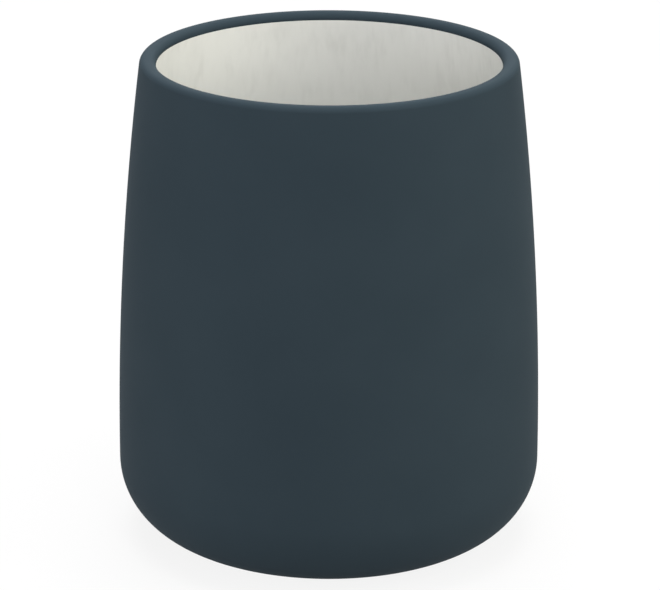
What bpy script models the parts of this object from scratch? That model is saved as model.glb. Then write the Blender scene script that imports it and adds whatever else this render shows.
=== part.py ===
"""A round pen holder: one slip-cast ceramic pot, coated matte outside and glazed inside, on four grip pads.

The pot is turned about Z and stands on the plane z = 0. The front is towards -Y. Every layer of the pot
follows the bare clay's own section at a stated distance off the clay, so the section is written once.
"""

import math

import bpy

MM = 0.001

# The finished outside. The draw-in is how far the wall has leaned in, on each side, at the crown's plane.
OVERALL_HEIGHT = 100.0 * MM
BODY_DIAMETER = 86.0 * MM
WALL_DRAW_IN = 5.45 * MM
CORNER_RADIUS = 15.2 * MM

# The clay, the clearance between neighbouring pieces, and the rim's roundings as shares of the clay's wall.
CLAY_WALL = 2.2 * MM
CLAY_FLOOR = 3.2 * MM
SEAT_GAP = 0.3 * MM
RIM_OUTER_ROUNDING_SHARE = 0.35
RIM_INNER_ROUNDING_SHARE = 0.45

# The two finishes on the clay.
COAT_THICKNESS = 0.3 * MM
GLAZE_THICKNESS = 0.3 * MM

# The bare foot ring, which starts outside the flat of the base. Its edges are rounded by a share of its land.
FOOT_FLARE = 2.2 * MM
FOOT_LAND = 4.6 * MM
FOOT_EDGE_SHARE = 0.1

# The pads in the recess inside the foot ring, and the film over each. The pads stand proud of the ring. They
# are spread evenly round the axis, from the first one's angle on, anticlockwise seen from above.
PAD_DIAMETER = 10.0 * MM
PAD_THICKNESS = 1.5 * MM
PAD_PROUD = 0.8 * MM
PAD_EDGE_SHARE = 0.25
PAD_INSET = 2.6 * MM
FILM_DIAMETER = 9.0 * MM
FILM_THICKNESS = 0.2 * MM
PAD_PLACES = ("front_right", "back_right", "back_left", "front_left")
FIRST_PAD_ANGLE = math.radians(-45.0)

# How finely the round shapes are divided.
TURN_STEPS = 48
PAD_STEPS = 24
CORNER_STEPS = 6
WALL_STEPS = 5
RIM_STEPS = 4
EDGE_STEPS = 2
PAD_EDGE_STEPS = 2
SHARP_ANGLE = math.radians(32.0)
MERGE_DISTANCE = 0.01 * MM

# Heights above the desk.
FILM_HEIGHT = PAD_THICKNESS + SEAT_GAP
RECESS_CEILING = FILM_HEIGHT + FILM_THICKNESS + SEAT_GAP
CENTRE_HEIGHT = PAD_PROUD + CORNER_RADIUS
FLOOR_HEIGHT = RECESS_CEILING + CLAY_FLOOR
CROWN_HEIGHT = OVERALL_HEIGHT - COAT_THICKNESS - SEAT_GAP

# The wall is one long arc, upright at the height from which the corners are struck, and it leans in above.
WALL_RISE = OVERALL_HEIGHT - CENTRE_HEIGHT
SWEEP_RADIUS = (WALL_RISE ** 2 + WALL_DRAW_IN ** 2) / (2 * WALL_DRAW_IN)
SWEEP_X = BODY_DIAMETER / 2 - SWEEP_RADIUS
OUTER_SWEEP = SWEEP_RADIUS - COAT_THICKNESS - SEAT_GAP
INNER_SWEEP = OUTER_SWEEP - CLAY_WALL

# The corners under the wall, outside and inside.
OUTER_CORNER = CORNER_RADIUS - COAT_THICKNESS - SEAT_GAP
OUTER_CORNER_X = SWEEP_X + OUTER_SWEEP - OUTER_CORNER
INNER_CORNER = CENTRE_HEIGHT - FLOOR_HEIGHT
INNER_CORNER_X = SWEEP_X + INNER_SWEEP - INNER_CORNER

# The two roundings of the rim, each struck tangent to its side of the wall and to the crown.
OUTER_ROUNDING = RIM_OUTER_ROUNDING_SHARE * CLAY_WALL
INNER_ROUNDING = RIM_INNER_ROUNDING_SHARE * CLAY_WALL
OUTER_LEAN = math.asin((CROWN_HEIGHT - OUTER_ROUNDING - CENTRE_HEIGHT) / (OUTER_SWEEP - OUTER_ROUNDING))
INNER_LEAN = math.asin((CROWN_HEIGHT - INNER_ROUNDING - CENTRE_HEIGHT) / (INNER_SWEEP + INNER_ROUNDING))
OUTER_ROUNDING_X = SWEEP_X + (OUTER_SWEEP - OUTER_ROUNDING) * math.cos(OUTER_LEAN)
INNER_ROUNDING_X = SWEEP_X + (INNER_SWEEP + INNER_ROUNDING) * math.cos(INNER_LEAN)

# The foot ring and the ring of pads.
FOOT_RADIUS = OUTER_CORNER_X + FOOT_FLARE
RECESS_RADIUS = FOOT_RADIUS - FOOT_LAND
FOOT_EDGE = FOOT_EDGE_SHARE * FOOT_LAND
PAD_EDGE = PAD_EDGE_SHARE * PAD_THICKNESS
PAD_CIRCLE_RADIUS = RECESS_RADIUS - PAD_INSET - PAD_DIAMETER / 2


def arc(centre_x, centre_z, radius, start, end, steps):
    """Points (x, z) along an arc. The angles are in radians, counted up from +X."""
    angles = [start + (end - start) * step / steps for step in range(steps + 1)]
    return [(centre_x + radius * math.cos(angle), centre_z + radius * math.sin(angle)) for angle in angles]


def joined(*runs):
    """One run of points from several, without the point that two neighbouring runs share."""
    points = []
    for point in (point for run in runs for point in run):
        if not points or math.dist(points[-1], point) > MERGE_DISTANCE:
            points.append(point)
    return points


def rim_section(off_clay):
    """Over the rim, from the inside of the lip to the outside wall, at a distance off the clay."""
    lip_z = CROWN_HEIGHT - INNER_ROUNDING
    shoulder_z = CROWN_HEIGHT - OUTER_ROUNDING
    lip_radius = INNER_ROUNDING + off_clay
    shoulder_radius = OUTER_ROUNDING + off_clay
    lip = arc(INNER_ROUNDING_X, lip_z, lip_radius, math.pi + INNER_LEAN, math.pi / 2, RIM_STEPS)
    shoulder = arc(OUTER_ROUNDING_X, shoulder_z, shoulder_radius, math.pi / 2, OUTER_LEAN, RIM_STEPS)
    return joined(lip, shoulder)


def outside_section(off_clay, end_x):
    """Down the outside, from the shoulder of the rim to where the corner passes end_x."""
    wall = arc(SWEEP_X, CENTRE_HEIGHT, OUTER_SWEEP + off_clay, OUTER_LEAN, 0, WALL_STEPS)
    radius = OUTER_CORNER + off_clay
    end_angle = -math.acos((end_x - OUTER_CORNER_X) / radius)
    corner = arc(OUTER_CORNER_X, CENTRE_HEIGHT, radius, 0, end_angle, CORNER_STEPS)
    return joined(wall, corner)


def inside_section(off_clay, top_angle):
    """Out along the floor from the axis, round the inside corner and up the wall to top_angle of its arc."""
    floor = [(0, FLOOR_HEIGHT + off_clay)]
    corner = arc(INNER_CORNER_X, CENTRE_HEIGHT, INNER_CORNER - off_clay, -math.pi / 2, 0, CORNER_STEPS)
    wall = arc(SWEEP_X, CENTRE_HEIGHT, INNER_SWEEP - off_clay, 0, top_angle, WALL_STEPS)
    return joined(floor, corner, wall)


def foot_section():
    """Down the foot ring's outer face, across its land and up into the recess, to the axis."""
    edge_z = PAD_PROUD + FOOT_EDGE
    outer_edge = arc(FOOT_RADIUS - FOOT_EDGE, edge_z, FOOT_EDGE, 0, -math.pi / 2, EDGE_STEPS)
    inner_edge = arc(RECESS_RADIUS + FOOT_EDGE, edge_z, FOOT_EDGE, -math.pi / 2, -math.pi, EDGE_STEPS)
    fillet = arc(RECESS_RADIUS - FOOT_EDGE, RECESS_CEILING - FOOT_EDGE, FOOT_EDGE, 0, math.pi / 2, EDGE_STEPS)
    return joined(outer_edge, inner_edge, fillet, [(0, RECESS_CEILING)])


def clear_scene():
    """Removes whatever the scene holds."""
    for obj in list(bpy.data.objects):
        bpy.data.objects.remove(obj)


def make_material(name, colour, roughness, metallic=0.0):
    """A Principled material of one colour."""
    material = bpy.data.materials.new(name)
    material.use_nodes = True
    shader = material.node_tree.nodes["Principled BSDF"]
    shader.inputs["Base Color"].default_value = (*colour, 1.0)
    shader.inputs["Roughness"].default_value = roughness
    shader.inputs["Metallic"].default_value = metallic
    return material


def add_part(name, mesh, material, place):
    """Adds a mesh as a named part under the holder's empty."""
    if not mesh.materials:
        mesh.materials.append(material)
    part = bpy.data.objects.new(name, mesh)
    place["collection"].objects.link(part)
    part.parent = place["root"]
    return part


def shade_round(mesh):
    """Shades a mesh smooth, apart from its real edges."""
    mesh.shade_smooth()
    mesh.set_sharp_from_angle(angle=SHARP_ANGLE)


def applied(obj, name):
    """The mesh that an object's modifiers make. The object itself is removed."""
    bpy.context.view_layer.update()
    evaluated = obj.evaluated_get(bpy.context.evaluated_depsgraph_get())
    mesh = bpy.data.meshes.new_from_object(evaluated)
    mesh.name = name
    bpy.data.objects.remove(obj)
    shade_round(mesh)
    return mesh


def turned_mesh(name, profile, is_ring):
    """A profile in the XZ plane turned about Z. A ring's profile is a closed loop that stays off the axis."""
    count = len(profile)
    edges = [(index, index + 1) for index in range(count - 1)]
    if is_ring:
        edges.append((count - 1, 0))
    outline = bpy.data.meshes.new(name + "_profile")
    outline.from_pydata([(x, 0, z) for x, z in profile], edges, [])
    obj = bpy.data.objects.new(name + "_profile", outline)
    bpy.context.scene.collection.objects.link(obj)
    screw = obj.modifiers.new("Turn", "SCREW")
    screw.steps = TURN_STEPS
    screw.render_steps = TURN_STEPS
    screw.use_merge_vertices = True
    screw.merge_threshold = MERGE_DISTANCE
    return applied(obj, name)


def disc_mesh(name, diameter, thickness, edge):
    """A round disc that stands on its own origin, with its rim rounded by edge where that isn't zero."""
    bpy.ops.mesh.primitive_cylinder_add(
        vertices=PAD_STEPS, radius=diameter / 2, depth=thickness, location=(0, 0, thickness / 2)
    )
    disc = bpy.context.active_object
    bpy.ops.object.transform_apply(location=True, rotation=True, scale=True)
    if edge:
        bevel = disc.modifiers.new("Rounded rim", "BEVEL")
        bevel.width = edge
        bevel.segments = PAD_EDGE_STEPS
        bevel.limit_method = "ANGLE"
    return applied(disc, name)


def make_ceramic_body(place):
    """The fired clay pot, from the middle of its floor up the inside, over the rim and down to the recess."""
    profile = joined(
        inside_section(0, INNER_LEAN), rim_section(0), outside_section(0, FOOT_RADIUS), foot_section()
    )
    mesh = turned_mesh("ceramic_body", profile, is_ring=False)
    clay = make_material("fired_clay", (0.60, 0.55, 0.47), 0.85)
    return add_part("ceramic_body", mesh, clay, place)


def make_matte_coat(place):
    """The coat from the inside of the lip, over the rim and down to just outside the foot ring."""
    end_x = FOOT_RADIUS + SEAT_GAP
    face, back = [
        joined(rim_section(off_clay), outside_section(off_clay, end_x))
        for off_clay in (SEAT_GAP + COAT_THICKNESS, SEAT_GAP)
    ]
    mesh = turned_mesh("matte_coat", face + back[::-1], is_ring=True)
    slate = make_material("matte_slate_coat", (0.036, 0.050, 0.060), 0.6)
    return add_part("matte_coat", mesh, slate, place)


def make_glaze_lining(place):
    """The glaze over the floor and up the inside, to just under the end of the coat."""
    top_angle = INNER_LEAN - SEAT_GAP / INNER_SWEEP
    face, back = [
        inside_section(off_clay, top_angle) for off_clay in (SEAT_GAP + GLAZE_THICKNESS, SEAT_GAP)
    ]
    mesh = turned_mesh("glaze_lining", face + back[::-1], is_ring=False)
    ivory = make_material("ivory_glaze", (0.70, 0.69, 0.62), 0.3)
    return add_part("glaze_lining", mesh, ivory, place)


def make_pads(place):
    """Four silicone pads that stand on the desk inside the foot ring, each under its disc of film."""
    pad_mesh = disc_mesh("grip_pad", PAD_DIAMETER, PAD_THICKNESS, PAD_EDGE)
    film_mesh = disc_mesh("adhesive_film", FILM_DIAMETER, FILM_THICKNESS, 0)
    silicone = make_material("grip_silicone", (0.10, 0.11, 0.115), 0.55)
    film = make_material("adhesive_film", (0.62, 0.60, 0.52), 0.4)
    for index, place_name in enumerate(PAD_PLACES):
        angle = FIRST_PAD_ANGLE + index * math.tau / len(PAD_PLACES)
        x, y = PAD_CIRCLE_RADIUS * math.cos(angle), PAD_CIRCLE_RADIUS * math.sin(angle)
        pad = add_part("grip_pad_" + place_name, pad_mesh, silicone, place)
        pad.location = (x, y, 0)
        sticker = add_part("adhesive_film_" + place_name, film_mesh, film, place)
        sticker.location = (x, y, FILM_HEIGHT)


def main():
    """Builds the pen holder."""
    clear_scene()
    collection = bpy.data.collections.new("pen_holder")
    bpy.context.scene.collection.children.link(collection)
    root = bpy.data.objects.new("pen_holder", None)
    collection.objects.link(root)
    place = {"collection": collection, "root": root}
    make_ceramic_body(place)
    make_matte_coat(place)
    make_glaze_lining(place)
    make_pads(place)


main()
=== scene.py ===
"""Dresses the pen holder: a cast clay pot, slate outside and ivory inside, on four grip pads.

The pot is turned about Z and stands on the plane z = 0. The camera is on the -Y side. Lengths are in
metres.
"""

from __future__ import annotations

import logging
import math
from dataclasses import dataclass, field
from enum import Enum
from typing import Callable, Sequence

import bmesh
import bpy
from mathutils import Matrix, Vector


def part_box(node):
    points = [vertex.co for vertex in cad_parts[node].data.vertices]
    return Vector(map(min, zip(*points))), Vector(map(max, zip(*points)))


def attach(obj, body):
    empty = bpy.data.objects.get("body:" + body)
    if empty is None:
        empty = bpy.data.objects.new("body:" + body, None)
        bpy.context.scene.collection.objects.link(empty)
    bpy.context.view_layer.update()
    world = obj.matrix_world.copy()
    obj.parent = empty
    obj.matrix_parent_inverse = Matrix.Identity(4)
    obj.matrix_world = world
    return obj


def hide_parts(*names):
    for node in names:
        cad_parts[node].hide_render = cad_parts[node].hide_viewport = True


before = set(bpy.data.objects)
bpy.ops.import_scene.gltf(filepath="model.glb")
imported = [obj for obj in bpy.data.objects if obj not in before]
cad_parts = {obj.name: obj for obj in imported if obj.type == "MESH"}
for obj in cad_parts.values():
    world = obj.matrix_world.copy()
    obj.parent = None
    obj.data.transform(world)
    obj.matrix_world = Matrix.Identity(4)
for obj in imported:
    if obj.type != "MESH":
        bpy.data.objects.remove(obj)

LOG = logging.getLogger("pen_holder")

MM = 0.001
MICRON = 0.000001

# How a screen's channel is turned into a linear one.
FULL_CHANNEL = 255
TOE_LIMIT = 0.04045
TOE_SLOPE = 12.92
CURVE_OFFSET = 0.055
CURVE_POWER = 2.4

# Most of a noise texture lies between these two values.
NOISE_LOW = 0.25
NOISE_HIGH = 0.75

Point = tuple[float, float]
Span = tuple[float, float]
Colour = tuple[float, float, float]
Socket = bpy.types.NodeSocket


class Surface(Enum):
    """The record's material slot that each finish belongs to, which also names its material."""

    COAT = "matte_slate_coat"
    GLAZE = "ivory_glaze"
    CLAY = "fired_clay"
    SILICONE = "grip_silicone"
    FILM = "adhesive_film"


class PadPlace(Enum):
    """Where a grip pad sits under the pot, as its node's name says it."""

    FRONT_RIGHT = "front_right"
    BACK_RIGHT = "back_right"
    BACK_LEFT = "back_left"
    FRONT_LEFT = "front_left"


class ShaderInput(Enum):
    """The Principled shader's inputs that the finishes feed."""

    COLOUR = "Base Color"
    ROUGHNESS = "Roughness"
    NORMAL = "Normal"
    SPECULAR = "Specular IOR Level"


def from_srgb(red: int, green: int, blue: int) -> Colour:
    """Turns a colour as a screen shows it into the linear one that a shader takes.

    Args:
        red: From 0 to 255.
        green: From 0 to 255.
        blue: From 0 to 255.

    Returns:
        The linear colour, each channel from 0 to 1.
    """
    shares = [channel / FULL_CHANNEL for channel in (red, green, blue)]
    linear = [
        s / TOE_SLOPE if s <= TOE_LIMIT else ((s + CURVE_OFFSET) / (1 + CURVE_OFFSET)) ** CURVE_POWER
        for s in shares
    ]
    return linear[0], linear[1], linear[2]


@dataclass(frozen=True)
class Grain:
    """Soft noise. Its depth is how high it stands where it also bumps the surface."""

    width: float
    detail: float = 2.0
    depth: float = 0.0


@dataclass(frozen=True)
class Specks:
    """Small round specks, scattered at a mean spacing. The core share of the radius has the full effect."""

    spacing: float
    radius: float
    depth: float = 0.0
    core_share: float = 0.6


class MaterialGraph:
    """A Principled material and the few kinds of node that the finishes are made from."""

    def __init__(self, surface: Surface) -> None:
        """Starts a material with only its Principled shader and its output.

        Args:
            surface: The slot that the material belongs to.
        """
        self.material = bpy.data.materials.new(surface.value)
        self.material.use_nodes = True
        self.tree = self.material.node_tree
        self.shader = self.tree.nodes["Principled BSDF"]
        self.place = self.tree.nodes.new("ShaderNodeTexCoord").outputs["Object"]

    def link(self, source: Socket, target: Socket) -> None:
        """Joins an output to an input."""
        self.tree.links.new(source, target)

    def feed(self, socket: Socket, value: Socket | float | Sequence[float]) -> None:
        """Gives an input a constant, or links an output to it.

        Args:
            socket: The input.
            value: The constant or the output.
        """
        if isinstance(value, Socket):
            self.link(value, socket)
        else:
            socket.default_value = value

    def stretched(self, scale: tuple[float, float, float]) -> Socket:
        """The object's coordinates with each axis scaled.

        Args:
            scale: One factor for each axis. A small one draws a pattern out along its axis.

        Returns:
            The scaled coordinates.
        """
        mapping = self.tree.nodes.new("ShaderNodeMapping")
        mapping.inputs["Scale"].default_value = scale
        self.link(self.place, mapping.inputs["Vector"])
        return mapping.outputs["Vector"]

    def noise(self, grain: Grain, place: Socket | None = None) -> Socket:
        """Soft noise whose lumps are about as wide as the grain.

        Args:
            grain: The noise.
            place: Coordinates to use in place of the object's own.

        Returns:
            The noise, from 0 to 1 around a mean of a half.
        """
        node = self.tree.nodes.new("ShaderNodeTexNoise")
        node.inputs["Scale"].default_value = 1 / grain.width
        node.inputs["Detail"].default_value = grain.detail
        self.link(place or self.place, node.inputs["Vector"])
        return node.outputs["Fac"]

    def scattered(self, specks: Specks) -> Socket:
        """Small round specks scattered through the material.

        Args:
            specks: The specks.

        Returns:
            A mask that is 1 in a speck and 0 away from it.
        """
        cells = self.tree.nodes.new("ShaderNodeTexVoronoi")
        cells.inputs["Scale"].default_value = 1 / specks.spacing
        self.link(self.place, cells.inputs["Vector"])
        reach = specks.radius / specks.spacing
        return self.ramped(cells.outputs["Distance"], (reach, specks.core_share * reach))

    def ramped(self, value: Socket, source: Span, target: Span = (0.0, 1.0)) -> Socket:
        """Carries one range smoothly to another, and holds the target's ends outside it.

        Args:
            value: The number to carry.
            source: The two values that the target's ends stand for.
            target: The two values to make of them.

        Returns:
            The carried number.
        """
        node = self.tree.nodes.new("ShaderNodeMapRange")
        node.interpolation_type = "SMOOTHSTEP"
        self.link(value, node.inputs["Value"])
        for socket, number in zip(("From Min", "From Max", "To Min", "To Max"), (*source, *target)):
            node.inputs[socket].default_value = number
        return node.outputs["Result"]

    def spread(self, value: Socket, middle: float, swing: float) -> Socket:
        """Turns noise into a number that swings about a middle one.

        Args:
            value: Noise from 0 to 1.
            middle: What a half becomes.
            swing: How far the result goes either side of the middle, at the low and the high noise.

        Returns:
            The number.
        """
        node = self.tree.nodes.new("ShaderNodeMapRange")
        node.clamp = False
        self.link(value, node.inputs["Value"])
        node.inputs["From Min"].default_value = NOISE_LOW
        node.inputs["From Max"].default_value = NOISE_HIGH
        node.inputs["To Min"].default_value = middle - swing
        node.inputs["To Max"].default_value = middle + swing
        return node.outputs["Result"]

    def height(self) -> Socket:
        """The height above the desk.

        Returns:
            The height, in metres.
        """
        node = self.tree.nodes.new("ShaderNodeSeparateXYZ")
        self.link(self.place, node.inputs["Vector"])
        return node.outputs["Z"]

    def mixed(self, factor: Socket, first: Socket | Colour, second: Socket | Colour) -> Socket:
        """Mixes two colours.

        Args:
            factor: 0 for the first colour, 1 for the second.
            first: The first colour.
            second: The second colour.

        Returns:
            The mixed colour.
        """
        node = self.tree.nodes.new("ShaderNodeMix")
        node.data_type = "RGBA"
        self.feed(node.inputs["Factor"], factor)
        for socket, colour in ((node.inputs["A"], first), (node.inputs["B"], second)):
            self.feed(socket, colour if isinstance(colour, Socket) else (*colour, 1.0))
        return node.outputs["Result"]

    def product(self, first: Socket, second: Socket) -> Socket:
        """Multiplies two numbers.

        Args:
            first: One number.
            second: The other.

        Returns:
            Their product.
        """
        node = self.tree.nodes.new("ShaderNodeMath")
        node.operation = "MULTIPLY"
        self.link(first, node.inputs[0])
        self.link(second, node.inputs[1])
        return node.outputs["Value"]

    def bumped(self, value: Socket, depth: float, under: Socket | None = None) -> Socket:
        """A bumped normal.

        Args:
            value: Height, from 0 to 1.
            depth: What a height of 1 stands for, in metres.
            under: A normal that is already bumped, to lay this one over.

        Returns:
            The normal.
        """
        node = self.tree.nodes.new("ShaderNodeBump")
        node.inputs["Distance"].default_value = depth
        self.link(value, node.inputs["Height"])
        if under:
            self.link(under, node.inputs["Normal"])
        return node.outputs["Normal"]

    def finish(self, values: dict[ShaderInput, Socket | float]) -> bpy.types.Material:
        """Feeds the shader's inputs.

        Args:
            values: What each input gets.

        Returns:
            The material.
        """
        for shader_input, value in values.items():
            self.feed(self.shader.inputs[shader_input.value], value)
        return self.material


@dataclass(frozen=True)
class SlateCoat:
    """The sprayed matte coat: dark slate, with a faint cloudiness and the fine grain of a spray gun."""

    surface: Surface = Surface.COAT
    shade: Colour = from_srgb(40, 51, 58)
    tint: Colour = from_srgb(45, 56, 63)
    cloud: Grain = Grain(17.0 * MM, detail=3.0)
    peel: Grain = Grain(0.9 * MM, detail=1.0, depth=5.0 * MICRON)
    grit: Grain = Grain(0.22 * MM, depth=3.0 * MICRON)
    roughness: float = 0.8
    roughness_swing: float = 0.03
    specular: float = 0.06

    def material(self) -> bpy.types.Material:
        """Builds the coat's material.

        Returns:
            The material.
        """
        graph = MaterialGraph(self.surface)
        gritty = graph.noise(self.grit)
        peel = graph.bumped(graph.noise(self.peel), self.peel.depth)
        return graph.finish({
            ShaderInput.COLOUR: graph.mixed(graph.noise(self.cloud), self.shade, self.tint),
            ShaderInput.ROUGHNESS: graph.spread(gritty, self.roughness, self.roughness_swing),
            ShaderInput.NORMAL: graph.bumped(gritty, self.grit.depth, under=peel),
            ShaderInput.SPECULAR: self.specular,
        })


@dataclass(frozen=True)
class IvoryGlaze:
    """The satin glaze: pale ivory, with painted shade down the well, deeper in tone where it pools, and
    faint short runs.
    """

    surface: Surface = Surface.GLAZE
    shade: Colour = from_srgb(237, 237, 234)
    # Painted shade: the glaze goes from the shade at the lip to this darker colour lower down the well.
    painted_deep_shade: Colour = from_srgb(202, 203, 200)
    pool_shade: Colour = from_srgb(195, 195, 189)
    run_shade: Colour = from_srgb(190, 190, 186)
    # The heights over which the painted shade darkens the glaze, from near the lip down the well.
    painted_shade_heights: Span = (98.0 * MM, 68.0 * MM)
    pooling: Span = (14.0 * MM, 6.0 * MM)
    run: Grain = Grain(1.7 * MM)
    run_stretch: float = 0.26
    run_limits: Span = (0.35, 0.75)
    run_share: float = 0.2
    patch: Grain = Grain(7.0 * MM)
    patch_limits: Span = (0.35, 0.7)
    patch_shares: Span = (0.2, 1.0)
    wave: Grain = Grain(5.0 * MM, detail=1.0, depth=18.0 * MICRON)
    pinholes: Specks = Specks(4.0 * MM, 0.12 * MM, depth=30.0 * MICRON)
    roughness: float = 0.34
    roughness_swing: float = 0.04

    def material(self) -> bpy.types.Material:
        """Builds the glaze's material.

        Returns:
            The material.
        """
        graph = MaterialGraph(self.surface)
        waves = graph.noise(self.wave)
        wavy = graph.bumped(waves, self.wave.depth)
        # Painted shade: the colour darkens lower down the well.
        painted_shade = graph.ramped(graph.height(), self.painted_shade_heights)
        pool = graph.ramped(graph.height(), self.pooling)
        toned = graph.mixed(pool, graph.mixed(painted_shade, self.shade, self.painted_deep_shade), self.pool_shade)
        pits = graph.scattered(self.pinholes)
        return graph.finish({
            ShaderInput.COLOUR: graph.mixed(self.runs(graph), toned, self.run_shade),
            ShaderInput.ROUGHNESS: graph.spread(waves, self.roughness, self.roughness_swing),
            ShaderInput.NORMAL: graph.bumped(pits, -self.pinholes.depth, under=wavy),
        })

    def runs(self, graph: MaterialGraph) -> Socket:
        """The short soft runs, drawn out up and down, that come and go in patches over the wall.

        Args:
            graph: The glaze's graph.

        Returns:
            The share of the run shade.
        """
        streaks = graph.noise(self.run, place=graph.stretched((1.0, 1.0, self.run_stretch)))
        patches = graph.ramped(graph.noise(self.patch), self.patch_limits, self.patch_shares)
        return graph.product(graph.ramped(streaks, self.run_limits, (0.0, self.run_share)), patches)


@dataclass(frozen=True)
class BareClay:
    """The fired clay where nothing covers it: buff and dry, with a sandy grain and a few dark specks."""

    surface: Surface = Surface.CLAY
    shade: Colour = from_srgb(206, 196, 177)
    sand_shade: Colour = from_srgb(188, 176, 154)
    speck_shade: Colour = from_srgb(96, 78, 60)
    sand: Grain = Grain(0.5 * MM, detail=4.0, depth=35.0 * MICRON)
    grit: Grain = Grain(0.15 * MM, depth=12.0 * MICRON)
    specks: Specks = Specks(1.9 * MM, 0.16 * MM)
    roughness: float = 0.88
    roughness_swing: float = 0.05
    specular: float = 0.3

    def material(self) -> bpy.types.Material:
        """Builds the clay's material.

        Returns:
            The material.
        """
        graph = MaterialGraph(self.surface)
        sandy = graph.noise(self.sand)
        sanded = graph.mixed(sandy, self.shade, self.sand_shade)
        rough = graph.bumped(sandy, self.sand.depth)
        return graph.finish({
            ShaderInput.COLOUR: graph.mixed(graph.scattered(self.specks), sanded, self.speck_shade),
            ShaderInput.ROUGHNESS: graph.spread(sandy, self.roughness, self.roughness_swing),
            ShaderInput.NORMAL: graph.bumped(graph.noise(self.grit), self.grit.depth, under=rough),
            ShaderInput.SPECULAR: self.specular,
        })


@dataclass(frozen=True)
class GripSilicone:
    """The pads' soft silicone: charcoal grey, with a moulded satin skin that has picked up a little dust."""

    surface: Surface = Surface.SILICONE
    shade: Colour = from_srgb(66, 68, 70)
    dust_shade: Colour = from_srgb(96, 97, 97)
    dust: Grain = Grain(0.7 * MM, detail=4.0)
    dust_limits: Span = (0.5, 0.8)
    skin: Grain = Grain(0.12 * MM, depth=4.0 * MICRON)
    roughness: float = 0.52
    roughness_swing: float = 0.08

    def material(self) -> bpy.types.Material:
        """Builds the silicone's material.

        Returns:
            The material.
        """
        graph = MaterialGraph(self.surface)
        dusty = graph.noise(self.dust)
        dust = graph.ramped(dusty, self.dust_limits)
        return graph.finish({
            ShaderInput.COLOUR: graph.mixed(dust, self.shade, self.dust_shade),
            ShaderInput.ROUGHNESS: graph.spread(dusty, self.roughness, self.roughness_swing),
            ShaderInput.NORMAL: graph.bumped(graph.noise(self.skin), self.skin.depth),
        })


@dataclass(frozen=True)
class StickyFilm:
    """The double-sided film between a pad and the clay: milky, with small bubbles in it."""

    surface: Surface = Surface.FILM
    shade: Colour = from_srgb(206, 204, 192)
    bubble_shade: Colour = from_srgb(226, 225, 217)
    bubbles: Specks = Specks(0.9 * MM, 0.2 * MM)
    ripple: Grain = Grain(1.6 * MM, depth=8.0 * MICRON)
    roughness: float = 0.3
    roughness_swing: float = 0.05

    def material(self) -> bpy.types.Material:
        """Builds the film's material.

        Returns:
            The material.
        """
        graph = MaterialGraph(self.surface)
        ripples = graph.noise(self.ripple)
        return graph.finish({
            ShaderInput.COLOUR: graph.mixed(graph.scattered(self.bubbles), self.shade, self.bubble_shade),
            ShaderInput.ROUGHNESS: graph.spread(ripples, self.roughness, self.roughness_swing),
            ShaderInput.NORMAL: graph.bumped(ripples, self.ripple.depth),
        })


@dataclass(frozen=True)
class Arc:
    """A stretch of a circle in the section's plane, with its angles counted up from +X."""

    centre: Point
    radius: float
    start: float
    end: float
    steps: int

    def points(self, grown: float = 0.0) -> list[Point]:
        """The arc's points.

        Args:
            grown: What to add to the radius.

        Returns:
            Points (x, z), from the start to the end.
        """
        sweep = self.end - self.start
        angles = [self.start + sweep * step / self.steps for step in range(self.steps + 1)]
        x, z = self.centre
        radius = self.radius + grown
        return [(x + radius * math.cos(angle), z + radius * math.sin(angle)) for angle in angles]


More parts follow.
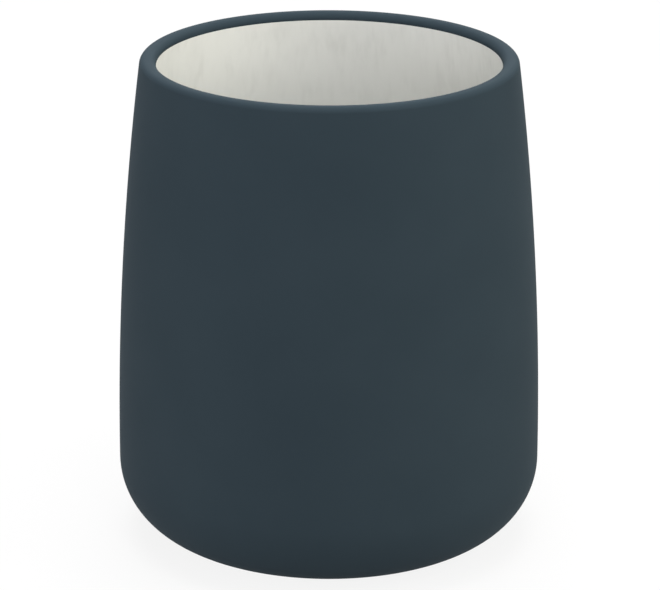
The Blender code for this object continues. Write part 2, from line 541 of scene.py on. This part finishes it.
@dataclass(frozen=True)
class PotSection:
    """The pot's section to the right of the axis.

    A depth is measured from the finished face into the wall.
    """

    crown_z: float
    base_z: float
    floor_z: float
    belly_radius: float
    draw_in: float = 5.45 * MM
    corner_radius: float = 15.2 * MM
    wall: float = 3.4 * MM
    shoulder_radius: float = 1.37 * MM
    lip_radius: float = 1.59 * MM
    wall_steps: int = 28
    corner_steps: int = 24
    rim_steps: int = 12

    @property
    def spring_z(self) -> float:
        """The height at which the corner ends and the wall starts, upright."""
        return self.base_z + self.corner_radius

    @property
    def sweep_radius(self) -> float:
        """The radius of the long arc that the outside wall follows."""
        rise = self.crown_z - self.spring_z
        return (rise ** 2 + self.draw_in ** 2) / (2 * self.draw_in)

    @property
    def sweep_centre(self) -> Point:
        """The centre of both long arcs of the wall."""
        return self.belly_radius - self.sweep_radius, self.spring_z

    def rounding(self, radius: float, reach: float) -> tuple[Point, float]:
        """Seats one of the rim's roundings, so that it touches the crown and its side of the wall.

        Args:
            radius: The rounding's radius.
            reach: How far its centre lies from the wall's centre.

        Returns:
            The rounding's centre, and the angle at which it touches the wall, in radians.
        """
        centre_z = self.crown_z - radius
        lean = math.asin((centre_z - self.spring_z) / reach)
        return (self.sweep_centre[0] + reach * math.cos(lean), centre_z), lean

    def shoulder(self) -> Arc:
        """The rim's outer rounding.

        Returns:
            The arc, from the crown to the outside wall.
        """
        radius = self.shoulder_radius
        centre, lean = self.rounding(radius, self.sweep_radius - radius)
        return Arc(centre, radius, math.pi / 2, lean, self.rim_steps)

    def lip(self) -> Arc:
        """The rim's inner rounding.

        Returns:
            The arc, from the inside wall to the crown.
        """
        radius = self.lip_radius
        centre, lean = self.rounding(radius, self.sweep_radius - self.wall + radius)
        return Arc(centre, radius, math.pi + lean, math.pi / 2, self.rim_steps)

    def outside_wall(self) -> Arc:
        """The outside wall, from the shoulder down."""
        return Arc(self.sweep_centre, self.sweep_radius, self.shoulder().end, 0.0, self.wall_steps)

    def inside_wall(self) -> Arc:
        """The inside wall, from the floor's corner up to the lip."""
        radius = self.sweep_radius - self.wall
        return Arc(self.sweep_centre, radius, 0.0, self.lip().start - math.pi, self.wall_steps)

    def outside_corner(self, end_x: float, depth: float = 0.0) -> Arc:
        """The corner under the outside wall, down to where it passes an x at a depth.

        Args:
            end_x: The x at which it ends.
            depth: The depth at which it passes that x.

        Returns:
            The arc, from the wall down.
        """
        centre = (self.belly_radius - self.corner_radius, self.spring_z)
        end = -math.acos((end_x - centre[0]) / (self.corner_radius - depth))
        return Arc(centre, self.corner_radius, 0.0, end, self.corner_steps)

    def inside_corner(self) -> Arc:
        """The corner round the floor of the well.

        Returns:
            The arc, from the floor up.
        """
        radius = self.spring_z - self.floor_z
        centre = (self.belly_radius - self.wall - radius, self.spring_z)
        return Arc(centre, radius, -math.pi / 2, 0.0, self.corner_steps)

    def down_outside(self, depth: float, end_x: float) -> list[Point]:
        """Down the outside at a depth, from the shoulder to an x."""
        return joined(self.outside_wall().points(-depth), self.outside_corner(end_x, depth).points(-depth))

    def over_rim(self, depth: float) -> list[Point]:
        """Over the rim at a depth, from the inside wall to the outside wall."""
        return joined(self.lip().points(-depth), self.shoulder().points(-depth))

    def up_inside(self, depth: float) -> list[Point]:
        """Out over the floor of the well from the axis at a depth, and up the inside wall to the lip."""
        floor = [(0.0, self.floor_z - depth)]
        return joined(floor, self.inside_corner().points(depth), self.inside_wall().points(depth))


def joined(*runs: Sequence[Point]) -> list[Point]:
    """Joins runs of points into one, without the point that two neighbours share.

    Args:
        *runs: The runs, in order.

    Returns:
        One run.
    """
    points: list[Point] = []
    for run in runs:
        for point in run:
            if not points or math.dist(points[-1], point) > MICRON:
                points.append(point)
    return points


def half_round(start: Point, end: Point, steps: int) -> list[Point]:
    """A half circle that turns clockwise from one point to another, to end a thin layer with.

    Args:
        start: Where it starts.
        end: Where it ends.
        steps: How many steps it has.

    Returns:
        Its points.
    """
    middle = ((start[0] + end[0]) / 2, (start[1] + end[1]) / 2)
    radius = math.dist(start, end) / 2
    first = math.atan2(start[1] - middle[1], start[0] - middle[0])
    return Arc(middle, radius, first, first - math.pi, steps).points()


def deselect_everything() -> None:
    """Leaves object mode clean, with nothing selected."""
    if bpy.context.mode != "OBJECT":
        bpy.ops.object.mode_set(mode="OBJECT")
    bpy.ops.object.select_all(action="DESELECT")


@dataclass(frozen=True)
class Lathe:
    """Turns outlines about the Z axis, as a potter's wheel does."""

    turn_steps: int = 256
    merge_distance: float = 1.0 * MICRON
    sharp_angle: float = math.radians(35.0)

    def turn(self, name: str, outline: Sequence[Point], is_ring: bool = False) -> bpy.types.Object:
        """Draws an outline as a chain of edges and spins it once round.

        Args:
            name: The piece's name.
            outline: Points (x, z) to the right of the axis.
            is_ring: Whether the outline closes on itself, off the axis.

        Returns:
            The turned piece, closed, with its faces outwards.
        """
        piece = self.draw(name, joined(outline, outline[:1]) if is_ring else outline)
        bpy.ops.object.mode_set(mode="EDIT")
        bpy.ops.mesh.select_all(action="SELECT")
        bpy.ops.mesh.spin(steps=self.turn_steps, angle=math.tau, center=(0, 0, 0), axis=(0, 0, 1))
        bpy.ops.mesh.select_all(action="SELECT")
        bpy.ops.mesh.remove_doubles(threshold=self.merge_distance)
        bpy.ops.mesh.normals_make_consistent(inside=False)
        bpy.ops.object.mode_set(mode="OBJECT")
        bpy.ops.object.shade_smooth_by_angle(angle=self.sharp_angle)
        return piece

    def draw(self, name: str, outline: Sequence[Point]) -> bpy.types.Object:
        """Draws a chain of edges by extruding one vertex from point to point.

        Args:
            name: The piece's name.
            outline: Points (x, z).

        Returns:
            The object that holds the chain.
        """
        deselect_everything()
        bpy.ops.mesh.primitive_plane_add(size=MM)
        piece = bpy.context.active_object
        piece.name = name
        piece.data.name = name
        bpy.ops.object.mode_set(mode="EDIT")
        bpy.ops.mesh.merge(type="CENTER")
        bpy.ops.transform.translate(value=(outline[0][0], 0, outline[0][1]))
        for here, there in zip(outline, outline[1:]):
            step = (there[0] - here[0], 0, there[1] - here[1])
            bpy.ops.mesh.extrude_region_move(TRANSFORM_OT_translate={"value": step})
        bpy.ops.object.mode_set(mode="OBJECT")
        return piece


def dress(piece: bpy.types.Object, material: bpy.types.Material, node: str) -> None:
    """Gives a piece its finish and its place in the frame.

    Args:
        piece: The piece.
        material: Its material.
        node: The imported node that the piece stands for.
    """
    piece.data.materials.clear()
    piece.data.materials.append(material)
    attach(piece, "root")
    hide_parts(node)
    LOG.info("%s: %d faces for %s", piece.name, len(piece.data.polygons), node)


@dataclass
class Pot:
    """The pot: the clay, the coat over its outside and the glaze inside, turned from one section."""

    coat_thickness: float = 0.3 * MM
    glaze_thickness: float = 0.3 * MM
    seat: float = 0.02 * MM
    foot_radius: float = 30.0 * MM
    foot_land: float = 4.6 * MM
    foot_edge: float = 0.46 * MM
    recess_z: float = 2.3 * MM
    coat_clearance: float = 0.25 * MM
    edge_steps: int = 6
    lathe: Lathe = Lathe()
    section: PotSection = field(init=False)

    def __post_init__(self) -> None:
        """Reads the section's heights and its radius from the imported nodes."""
        coat_low, coat_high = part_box("matte_coat")
        clay_low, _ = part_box("ceramic_body")
        glaze_low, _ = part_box("glaze_lining")
        self.section = PotSection(
            crown_z=coat_high.z,
            base_z=clay_low.z,
            floor_z=glaze_low.z + self.glaze_thickness,
            belly_radius=(coat_high.x - coat_low.x) / 2,
        )

    @property
    def middle_z(self) -> float:
        """The height halfway between the foot and the crown."""
        return (self.section.base_z + self.section.crown_z) / 2

    def build(self) -> None:
        """Builds the three layers and dresses them."""
        dress(self.clay(), BareClay().material(), "ceramic_body")
        dress(self.coat(), SlateCoat().material(), "matte_coat")
        dress(self.glaze(), IvoryGlaze().material(), "glaze_lining")

    def clay(self) -> bpy.types.Object:
        """Turns the clay, from the middle of the floor up, over the rim and down to the recess.

        Returns:
            The clay.
        """
        inside_depth = self.glaze_thickness + self.seat
        outside_depth = self.coat_thickness + self.seat
        outline = joined(
            self.section.up_inside(inside_depth),
            self.section.over_rim(outside_depth),
            self.section.down_outside(outside_depth, self.foot_radius),
            self.foot(),
        )
        return self.lathe.turn("pot_clay", outline)

    def foot(self) -> list[Point]:
        """The foot: down the ring's outer face, across its land and up into the recess.

        Returns:
            Points (x, z), to the axis.
        """
        edge, steps = self.foot_edge, self.edge_steps
        recess_radius = self.foot_radius - self.foot_land
        land_z = self.section.base_z + edge
        outer = Arc((self.foot_radius - edge, land_z), edge, 0.0, -math.pi / 2, steps)
        inner = Arc((recess_radius + edge, land_z), edge, -math.pi / 2, -math.pi, steps)
        fillet = Arc((recess_radius - edge, self.recess_z - edge), edge, 0.0, math.pi / 2, steps)
        return joined(outer.points(), inner.points(), fillet.points(), [(0.0, self.recess_z)])

    def coat(self) -> bpy.types.Object:
        """Turns the coat, from just inside the lip over the rim and down to the foot ring.

        Returns:
            The coat.
        """
        section = self.section
        lip = section.lip()
        inner_end = Arc(lip.centre, lip.radius, math.pi, lip.end, lip.steps)
        end_x = self.foot_radius + self.coat_clearance
        face, back = [
            joined(
                inner_end.points(-depth),
                section.shoulder().points(-depth),
                section.down_outside(depth, end_x),
            )
            for depth in (0.0, self.coat_thickness)
        ]
        bead = half_round(face[-1], back[-1], self.edge_steps)
        return self.lathe.turn("pot_matte_coat", joined(face, bead, back[::-1]), is_ring=True)

    def glaze(self) -> bpy.types.Object:
        """Turns the glaze, over the floor and up the inside wall to the end of the coat.

        Returns:
            The glaze.
        """
        lip = self.section.lip()
        top_angle = math.pi + self.seat / lip.radius
        top = Arc(lip.centre, lip.radius, lip.start, top_angle, self.edge_steps)
        face, back = [
            joined(self.section.up_inside(depth), top.points(-depth))
            for depth in (0.0, self.glaze_thickness)
        ]
        return self.lathe.turn("pot_glaze", joined(face, back[::-1]))


def select_faces(piece: bpy.types.Object, chosen: Callable[[bmesh.types.BMFace], bool]) -> None:
    """Selects the faces that a test picks, in edit mode.

    Args:
        piece: The object that is being edited.
        chosen: Says of a face whether to select it.
    """
    bpy.ops.mesh.select_mode(type="FACE")
    bpy.ops.mesh.select_all(action="DESELECT")
    mesh = bmesh.from_edit_mesh(piece.data)
    for face in mesh.faces:
        face.select_set(chosen(face))
    bmesh.update_edit_mesh(piece.data)


@dataclass(frozen=True)
class GripPads:
    """The four silicone pads under the pot, each under its disc of film."""

    sides: int = 96
    edge: float = 0.375 * MM
    edge_segments: int = 6
    dish_inset: float = 1.3 * MM
    dish_depth: float = 0.12 * MM
    film_edge: float = 0.06 * MM
    sharp_angle: float = math.radians(35.0)

    def build(self) -> None:
        """Models one pad and one film, and sets a copy of each at every place."""
        silicone = GripSilicone().material()
        sticky = StickyFilm().material()
        pad = self.pad()
        film = self.film()
        for place in PadPlace:
            for model, node, material, surface in (
                (pad, f"grip_pad_{place.value}", silicone, Surface.SILICONE),
                (film, f"adhesive_film_{place.value}", sticky, Surface.FILM),
            ):
                dress(self.copied(model, node), material, node)
        for model in (pad, film):
            bpy.data.objects.remove(model)

    def disc(self, name: str, node: str) -> bpy.types.Object:
        """A plain disc as wide and thick as a node, standing on the origin.

        Args:
            name: The disc's name.
            node: The node to take its size from.

        Returns:
            The disc.
        """
        low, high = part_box(node)
        radius = (high.x - low.x) / 2
        thickness = high.z - low.z
        deselect_everything()
        bpy.ops.mesh.primitive_cylinder_add(
            vertices=self.sides, radius=radius, depth=thickness, location=(0, 0, thickness / 2)
        )
        disc = bpy.context.active_object
        disc.name = name
        bpy.ops.object.transform_apply(location=True, rotation=True, scale=True)
        return disc

    def pad(self) -> bpy.types.Object:
        """Models a pad with rounded edges, and a shallow dish in the face that grips the desk.

        Returns:
            The pad, standing on the origin.
        """
        pad = self.disc("pad_model", f"grip_pad_{PadPlace.FRONT_RIGHT.value}")
        self.round_edges(pad, self.edge)
        bpy.ops.object.mode_set(mode="EDIT")
        select_faces(pad, self.is_sole)
        bpy.ops.mesh.inset(thickness=self.dish_inset)
        bpy.ops.mesh.inset(thickness=self.dish_depth)
        bpy.ops.transform.translate(value=(0, 0, self.dish_depth))
        bpy.ops.object.mode_set(mode="OBJECT")
        bpy.ops.object.shade_smooth_by_angle(angle=self.sharp_angle)
        return pad

    def is_sole(self, face: bmesh.types.BMFace) -> bool:
        """Whether a face is the round flat one underneath."""
        return len(face.verts) == self.sides and face.normal.z < 0

    def film(self) -> bpy.types.Object:
        """Models a disc of film with softened edges.

        Returns:
            The film, standing on the origin.
        """
        film = self.disc("film_model", f"adhesive_film_{PadPlace.FRONT_RIGHT.value}")
        self.round_edges(film, self.film_edge)
        bpy.ops.object.shade_smooth_by_angle(angle=self.sharp_angle)
        return film

    def round_edges(self, disc: bpy.types.Object, width: float) -> None:
        """Rounds a disc's two rims with a Bevel modifier, and applies it.

        Args:
            disc: The active object.
            width: How far the rounding reaches in from each rim.
        """
        bevel = disc.modifiers.new("Rounded rims", "BEVEL")
        bevel.width = width
        bevel.segments = self.edge_segments
        bevel.limit_method = "ANGLE"
        bpy.ops.object.modifier_apply(modifier=bevel.name)

    def copied(self, model: bpy.types.Object, node: str) -> bpy.types.Object:
        """A copy of a model, with its own mesh, moved to a node's place.

        Args:
            model: The model, standing on the origin.
            node: The node whose place it takes.

        Returns:
            The copy.
        """
        low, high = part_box(node)
        piece = model.copy()
        piece.data = model.data.copy()
        piece.name = piece.data.name = f"{node}_dressed"
        bpy.context.scene.collection.objects.link(piece)
        seat = Vector(((low.x + high.x) / 2, (low.y + high.y) / 2, low.z))
        piece.data.transform(Matrix.Translation(seat))
        return piece


WHITE: Colour = (1.0, 1.0, 1.0)
SUN_WHITE: Colour = (1.0, 0.985, 0.88)


@dataclass(frozen=True)
class SoftBox:
    """A rectangular soft light that faces the pot.

    Its angles are in degrees. Azimuth 0 is the camera's side and 90 is the right.
    """

    name: str
    azimuth: float
    elevation: float
    power: float
    colour: Colour = WHITE
    width: float = 0.8
    height: float = 0.8
    distance: float = 1.2

    def build(self, target: Vector) -> None:
        """Adds the light.

        Args:
            target: The point that it faces.
        """
        turn, rise = math.radians(self.azimuth), math.radians(self.elevation)
        reach = math.cos(rise)
        away = Vector((math.sin(turn) * reach, -math.cos(turn) * reach, math.sin(rise)))
        lamp = bpy.data.lights.new(self.name, "AREA")
        lamp.shape = "RECTANGLE"
        lamp.size = self.width
        lamp.size_y = self.height
        lamp.energy = self.power
        lamp.color = self.colour
        holder = bpy.data.objects.new(self.name, lamp)
        holder.location = target + away * self.distance
        holder.rotation_euler = away.to_track_quat("Z", "Y").to_euler()
        bpy.context.scene.collection.objects.link(holder)


@dataclass(frozen=True)
class Studio:
    """A pale floor under soft light, in air that looks white."""

    middle_z: float
    floor_size: float = 8.0
    floor_shade: float = 0.6
    floor_glow: float = 0.88
    air_glow: float = 1.0
    softboxes: tuple[SoftBox, ...] = (
        SoftBox(
            "right_key", azimuth=80.0, elevation=25.0, power=8.7, colour=SUN_WHITE, width=0.7, height=1.0
        ),
        SoftBox("right_high", azimuth=90.0, elevation=50.0, power=1.0, colour=SUN_WHITE),
        SoftBox("left_strip", azimuth=-75.0, elevation=6.0, power=5.4, width=0.9, height=0.4),
        SoftBox("front_fill", azimuth=0.0, elevation=30.0, power=3.4),
        SoftBox("front_high", azimuth=0.0, elevation=50.0, power=4.6),
        SoftBox("back_fill", azimuth=180.0, elevation=38.0, power=5.2),
        SoftBox("back_high", azimuth=180.0, elevation=55.0, power=3.7),
        SoftBox("overhead", azimuth=0.0, elevation=89.0, power=17.0),
    )

    def build(self) -> None:
        """Builds the floor, the air and the lights."""
        self.floor()
        self.air()
        for softbox in self.softboxes:
            softbox.build(Vector((0.0, 0.0, self.middle_z)))

    def floor(self) -> None:
        """A wide floor that looks white and keeps a soft shadow."""
        deselect_everything()
        bpy.ops.mesh.primitive_plane_add(size=self.floor_size)
        floor = bpy.context.active_object
        floor.name = "studio_floor"
        material = bpy.data.materials.new("studio_floor")
        material.use_nodes = True
        nodes, links = material.node_tree.nodes, material.node_tree.links
        nodes.clear()
        paper = nodes.new("ShaderNodeBsdfDiffuse")
        paper.inputs["Color"].default_value = (self.floor_shade,) * 3 + (1.0,)
        glow = nodes.new("ShaderNodeEmission")
        mix = nodes.new("ShaderNodeMixShader")
        links.new(self.seen_share(nodes, links, self.floor_glow), mix.inputs["Fac"])
        links.new(paper.outputs["BSDF"], mix.inputs[1])
        links.new(glow.outputs["Emission"], mix.inputs[2])
        output = nodes.new("ShaderNodeOutputMaterial")
        links.new(mix.outputs["Shader"], output.inputs["Surface"])
        floor.data.materials.append(material)

    def air(self) -> None:
        """A world that looks white and gives the pot no light of its own."""
        world = bpy.data.worlds.new("studio_air")
        world.use_nodes = True
        nodes, links = world.node_tree.nodes, world.node_tree.links
        background = nodes["Background"]
        background.inputs["Color"].default_value = (*WHITE, 1.0)
        links.new(self.seen_share(nodes, links, self.air_glow), background.inputs["Strength"])
        bpy.context.scene.world = world

    def seen_share(self, nodes: bpy.types.Nodes, links: bpy.types.NodeLinks, share: float) -> Socket:
        """A number that is the share for camera, glossy and transmission rays, and 0 for others.

        Args:
            nodes: The nodes to add to.
            links: Their links.
            share: The share.

        Returns:
            The number.
        """
        path = nodes.new("ShaderNodeLightPath")
        total = path.outputs["Is Camera Ray"]
        for name in ("Is Glossy Ray", "Is Transmission Ray"):
            larger = nodes.new("ShaderNodeMath")
            larger.operation = "MAXIMUM"
            links.new(total, larger.inputs[0])
            links.new(path.outputs[name], larger.inputs[1])
            total = larger.outputs["Value"]
        scaled = nodes.new("ShaderNodeMath")
        scaled.operation = "MULTIPLY"
        links.new(total, scaled.inputs[0])
        scaled.inputs[1].default_value = share
        return scaled.outputs["Value"]


@dataclass(frozen=True)
class PhotoCamera:
    """A long lens in front of the pot and a little above it."""

    middle_z: float
    distance: float = 665.7 * MM
    elevation: float = math.radians(19.2)
    roll: float = math.radians(0.11)
    sensor_width: float = 36.0
    frame_pixels: float = 660.0
    focal_pixels: float = 3279.6
    aim_pixels: Point = (-0.96, -2.64)

    def build(self) -> None:
        """Adds the camera, aimed so that the pot's middle falls beside the picture's centre."""
        target = Vector((0.0, 0.0, self.middle_z))
        away = Vector((0.0, -math.cos(self.elevation), math.sin(self.elevation)))
        lens = bpy.data.cameras.new("photo_camera")
        lens.sensor_width = self.sensor_width
        lens.lens = self.focal_pixels / self.frame_pixels * self.sensor_width
        lens.shift_x = -self.aim_pixels[0] / self.frame_pixels
        lens.shift_y = self.aim_pixels[1] / self.frame_pixels
        camera = bpy.data.objects.new("photo_camera", lens)
        camera.location = target + away * self.distance
        facing = away.to_track_quat("Z", "Y").to_matrix()
        camera.rotation_euler = (facing @ Matrix.Rotation(self.roll, 3, "Z")).to_euler()
        bpy.context.scene.collection.objects.link(camera)
        bpy.context.scene.camera = camera


def main() -> None:
    """Builds the pot, its pads, the studio and the camera."""
    logging.basicConfig(level=logging.INFO, format="%(name)s: %(message)s")
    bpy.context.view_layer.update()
    pot = Pot()
    pot.build()
    GripPads().build()
    Studio(pot.middle_z).build()
    PhotoCamera(pot.middle_z).build()
    bpy.context.scene.view_settings.view_transform = "Standard"


if __name__ == "__main__":
    main()
